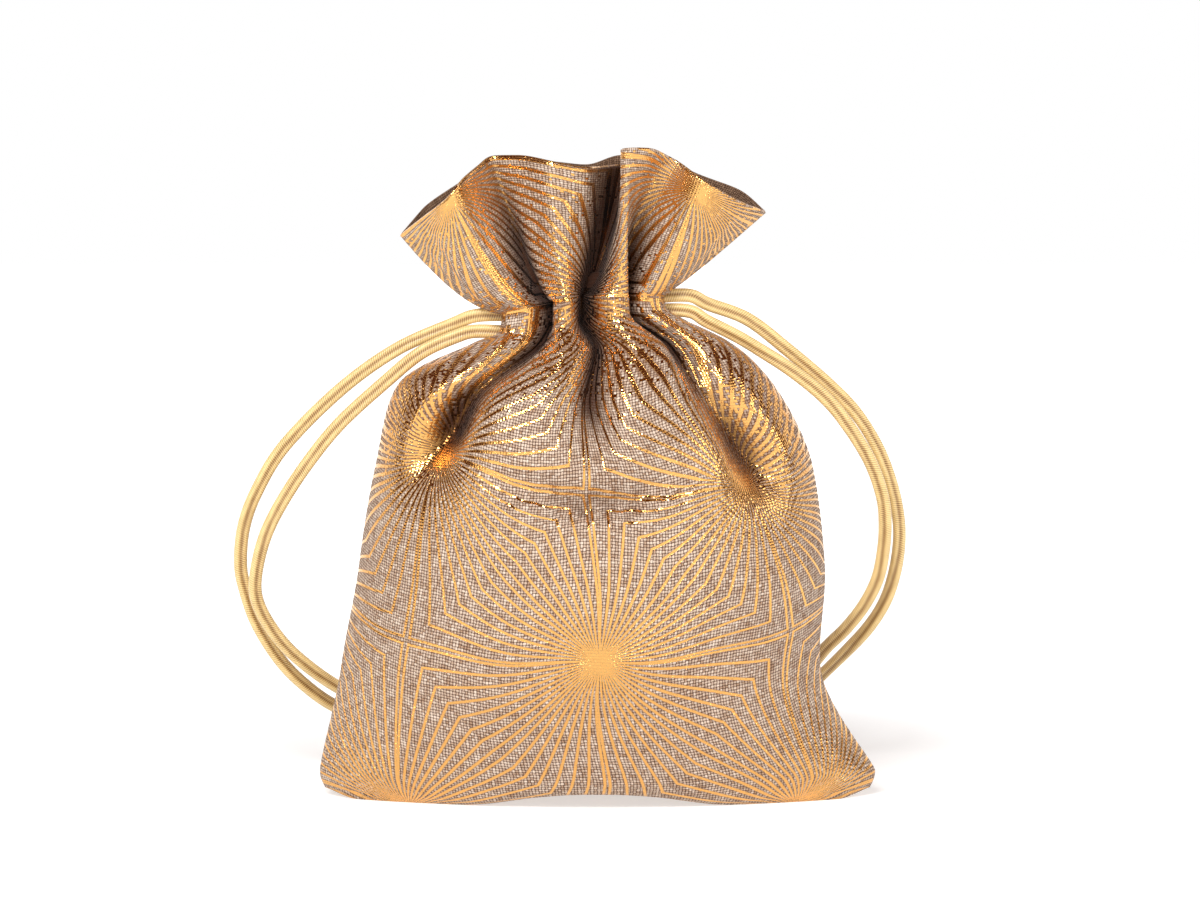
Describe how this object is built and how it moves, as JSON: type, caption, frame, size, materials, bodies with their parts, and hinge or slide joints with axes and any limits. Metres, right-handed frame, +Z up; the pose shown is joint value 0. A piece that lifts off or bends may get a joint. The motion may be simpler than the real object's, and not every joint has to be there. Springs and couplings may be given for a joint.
{
  "type": "drawstring pouch",
  "caption": "Small filled drawstring pouch of printed linen, standing, with a gathered neck, a flared frill and satin cords looped at both sides.",
  "frame": {"origin": "centre of the pouch's own box, on the table it stands on, without the cords", "axes": "+Z up from the table to the frill, +X to the pouch's right as seen from the front, +Y to the back, so the front face looks along -Y"},
  "size_m": [0.1228, 0.0676, 0.1167],
  "materials": {
    "printed_linen": "coarse linen weave with gold foil print",
    "satin_cord": "pale gold satin"
  },
  "bodies": {
    "root": {"pouch": "printed_linen", "left_cord_front": "satin_cord", "left_cord_back": "satin_cord", "left_cord_knot": "satin_cord", "right_cord_front": "satin_cord", "right_cord_back": "satin_cord", "right_cord_knot": "satin_cord"}
  },
  "joints": []
}
